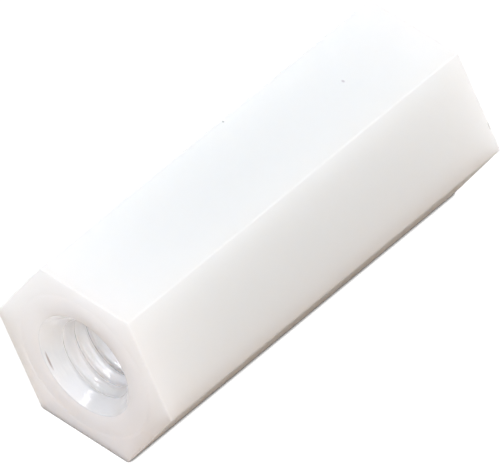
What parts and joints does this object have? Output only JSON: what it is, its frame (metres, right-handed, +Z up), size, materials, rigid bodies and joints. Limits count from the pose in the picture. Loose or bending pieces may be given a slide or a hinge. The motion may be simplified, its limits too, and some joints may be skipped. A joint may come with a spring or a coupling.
{
  "type": "hex standoff",
  "caption": "Short hexagonal nylon standoff with a tapped through bore, countersunk at both ends, that holds two boards or panels a set distance apart.",
  "frame": {"origin": "on the surface that the standoff lies on, under the middle of its length", "axes": "+X along the bore from the front end to the rear end, +Z up out of the upper flat, corners of the hexagon to the sides along Y"},
  "size_m": [0.015, 0.0068, 0.006],
  "materials": {
    "nylon": "natural white nylon, slightly translucent, satin outside and glossy on the cut thread"
  },
  "bodies": {
    "root": {"hex_standoff": "nylon"}
  },
  "joints": []
}
